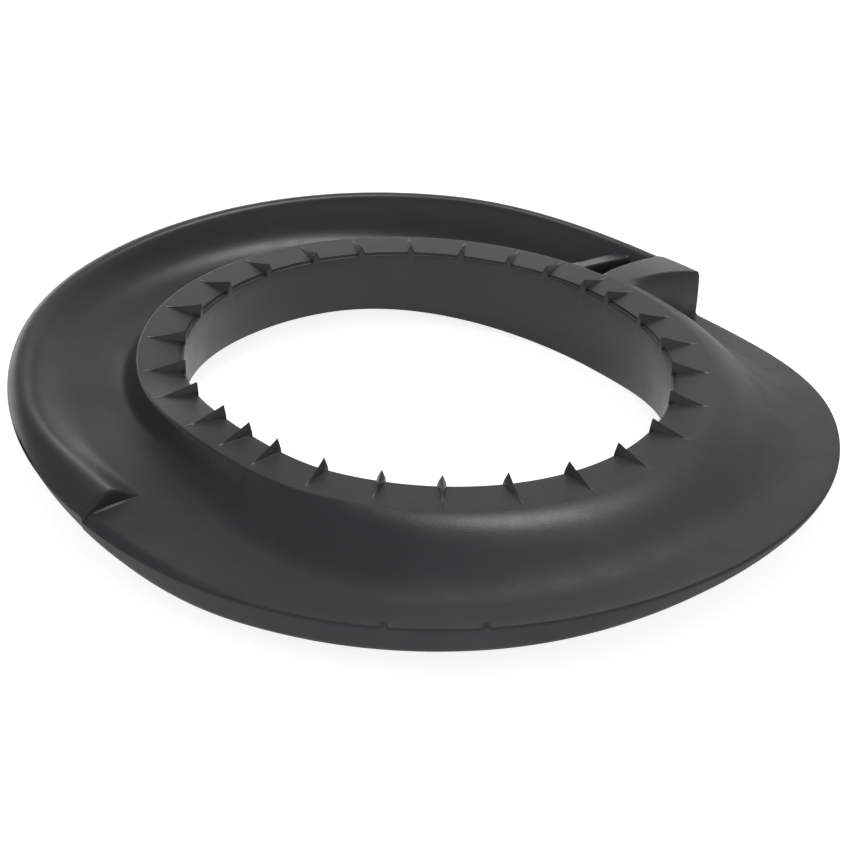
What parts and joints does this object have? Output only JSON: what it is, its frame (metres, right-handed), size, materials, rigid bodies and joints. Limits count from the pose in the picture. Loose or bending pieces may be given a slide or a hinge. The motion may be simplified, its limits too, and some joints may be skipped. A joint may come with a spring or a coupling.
{
  "type": "coil spring insulator",
  "caption": "Moulded rubber seat ring for a coil spring, with a ribbed hub, a flat flange and a raised channel with an end stop.",
  "frame": {"origin": "on the bore axis, at the lowest point of the underside", "axes": "+Z along the bore axis, out of the ribbed ledge side; +X to the right of the picture's view, so the end stop is between +X and +Y"},
  "size_m": [0.16, 0.16, 0.0203],
  "materials": {
    "rubber": "moulded black rubber, satin"
  },
  "bodies": {
    "root": {"spring_insulator": "rubber"}
  },
  "joints": []
}
